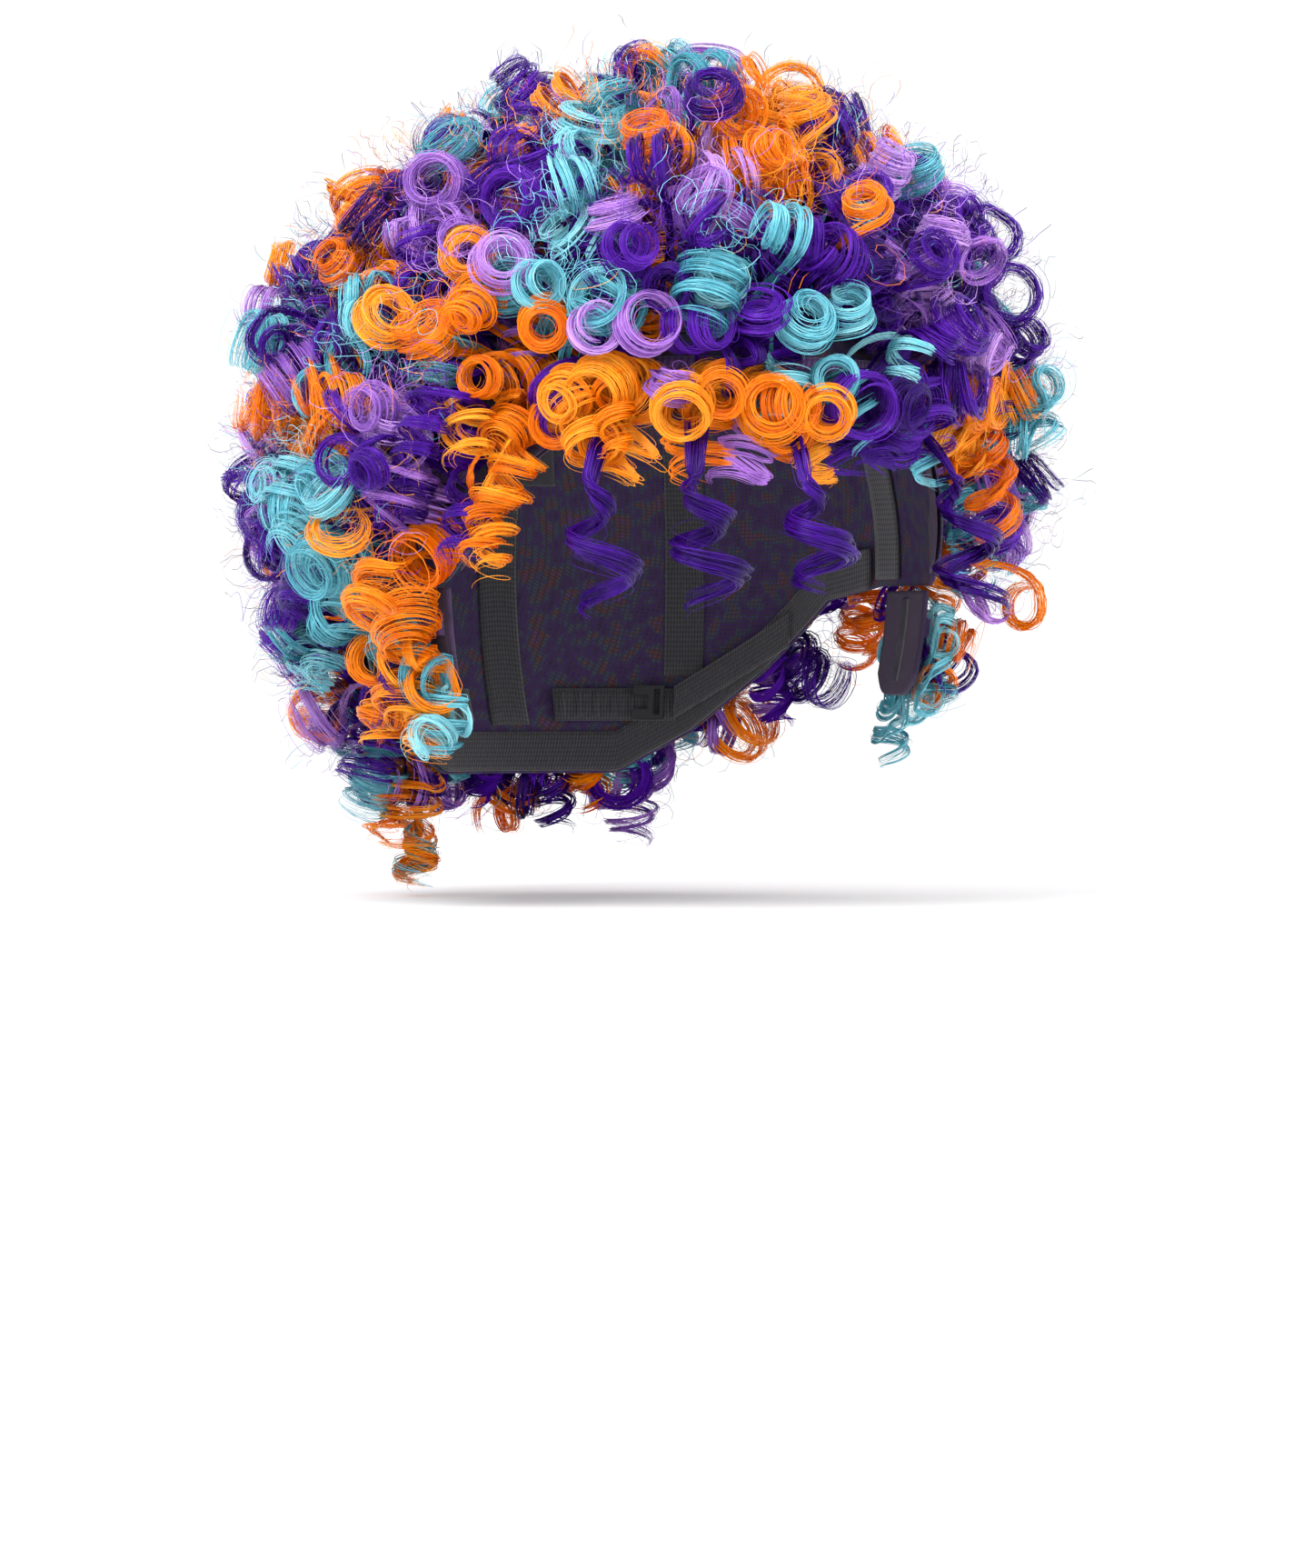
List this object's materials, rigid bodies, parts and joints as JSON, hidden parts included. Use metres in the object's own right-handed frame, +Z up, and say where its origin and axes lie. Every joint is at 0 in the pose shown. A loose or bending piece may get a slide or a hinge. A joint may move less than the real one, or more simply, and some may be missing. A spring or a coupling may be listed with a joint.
{
  "type": "short curly costume wig",
  "caption": "Short dense curly costume wig in mixed colours on a wefted stretch cap with ear tabs, nape adjusters and hanging fringe ringlets.",
  "frame": {"origin": "centre of the head at hatband height, where the head holds the wig", "axes": "+Z up to the crown, the wearer faces -Y and the wearer's left is +X"},
  "size_m": [0.2309, 0.256, 0.2386],
  "materials": {
    "hair_purple": "glossy synthetic fibre",
    "hair_lavender": "glossy synthetic fibre",
    "hair_turquoise": "glossy synthetic fibre",
    "hair_orange": "glossy synthetic fibre",
    "lace_net": "fine stretch net",
    "velvet_band": "brushed velour",
    "elastic_band": "woven elastic",
    "weft_stitch": "stitched fibre",
    "stay_metal": "satin",
    "hook_plastic": "moulded",
    "label_satin": "woven satin"
  },
  "bodies": {
    "cap": {"crown_net": "lace_net", "front_band": "velvet_band", "nape_band": "elastic_band", "centre_ribbon": "elastic_band", "right_side_ribbon": "elastic_band", "left_side_ribbon": "elastic_band", "right_back_ribbon": "elastic_band", "left_back_ribbon": "elastic_band", "weft_01": "weft_stitch", "weft_02": "weft_stitch", "weft_03": "weft_stitch", "weft_04": "weft_stitch", "weft_05": "weft_stitch", "weft_06": "weft_stitch", "weft_07": "weft_stitch", "weft_08": "weft_stitch", "weft_09": "weft_stitch", "weft_10": "weft_stitch", "weft_11": "weft_stitch", "weft_12": "weft_stitch", "curls_01": "hair_lavender", "curls_02": "hair_turquoise", "curls_03": "hair_orange", "curls_04": "hair_purple", "curls_05": "hair_lavender", "curls_06": "hair_purple", "curls_07": "hair_turquoise", "curls_08": "hair_lavender", "curls_09": "hair_purple", "curls_10": "hair_orange", "curls_11": "hair_purple", "curls_12": "hair_turquoise", "fringe_weft": "weft_stitch", "fringe_curls": "hair_orange", "nape_tail": "hair_orange", "right_loop_tape": "elastic_band", "left_loop_tape": "elastic_band"},
    "right_tab": {"right_ear_tab": "velvet_band", "right_tab_stay": "stay_metal", "right_tab_weft": "weft_stitch", "right_tab_curls": "hair_orange"},
    "left_tab": {"left_ear_tab": "velvet_band", "left_tab_stay": "stay_metal", "left_tab_weft": "weft_stitch", "left_tab_curls": "hair_turquoise"},
    "right_adjuster": {"right_hook": "hook_plastic", "right_strap": "elastic_band"},
    "left_adjuster": {"left_hook": "hook_plastic", "left_strap": "elastic_band"},
    "label": {"care_label": "label_satin"},
    "lock_1": {"ringlet_1": "hair_purple"},
    "lock_2": {"ringlet_2": "hair_purple"},
    "lock_3": {"ringlet_3": "hair_purple"},
    "lock_4": {"ringlet_4": "hair_purple"}
  },
  "joints": [
    {"name": "right_tab_fold", "type": "hinge", "parent": "cap", "child": "right_tab", "pos_m": [-0.07707, -0.01358, -0.00753], "axis": [-0.1109, 0.9938, 0], "range_deg": [-4, 30]},
    {"name": "left_tab_fold", "type": "hinge", "parent": "cap", "child": "left_tab", "pos_m": [0.07707, -0.01358, -0.00753], "axis": [-0.1109, -0.9938, 0], "range_deg": [-4, 30]},
    {"name": "right_adjuster_slide", "type": "slide", "parent": "cap", "child": "right_adjuster", "axis": [0.825, 0.5652, 0], "range_m": [0, 0.012], "deforming": ["right_strap"]},
    {"name": "left_adjuster_slide", "type": "slide", "parent": "cap", "child": "left_adjuster", "axis": [-0.825, 0.5652, 0], "range_m": [0, 0.012], "deforming": ["left_strap"]},
    {"name": "label_flap", "type": "hinge", "parent": "cap", "child": "label", "pos_m": [0, 0.08485, 0.038], "axis": [-1, 0, 0], "range_deg": [0, 80]},
    {"name": "lock_1_sway", "type": "hinge", "parent": "cap", "child": "lock_1", "pos_m": [-0.0596, -0.0815, 0.02], "axis": [-0.6743, 0.7384, 0], "range_deg": [-10, 45]},
    {"name": "lock_2_sway", "type": "hinge", "parent": "cap", "child": "lock_2", "pos_m": [-0.03734, -0.09934, 0.02], "axis": [-0.8722, 0.4892, 0], "range_deg": [-10, 45]},
    {"name": "lock_3_sway", "type": "hinge", "parent": "cap", "child": "lock_3", "pos_m": [-0.00806, -0.10886, 0.02], "axis": [-0.994, 0.1096, 0], "range_deg": [-10, 45]},
    {"name": "lock_4_sway", "type": "hinge", "parent": "cap", "child": "lock_4", "pos_m": [0.04708, -0.09295, 0.02], "axis": [-0.7973, -0.6035, 0], "range_deg": [-10, 45]}
  ]
}
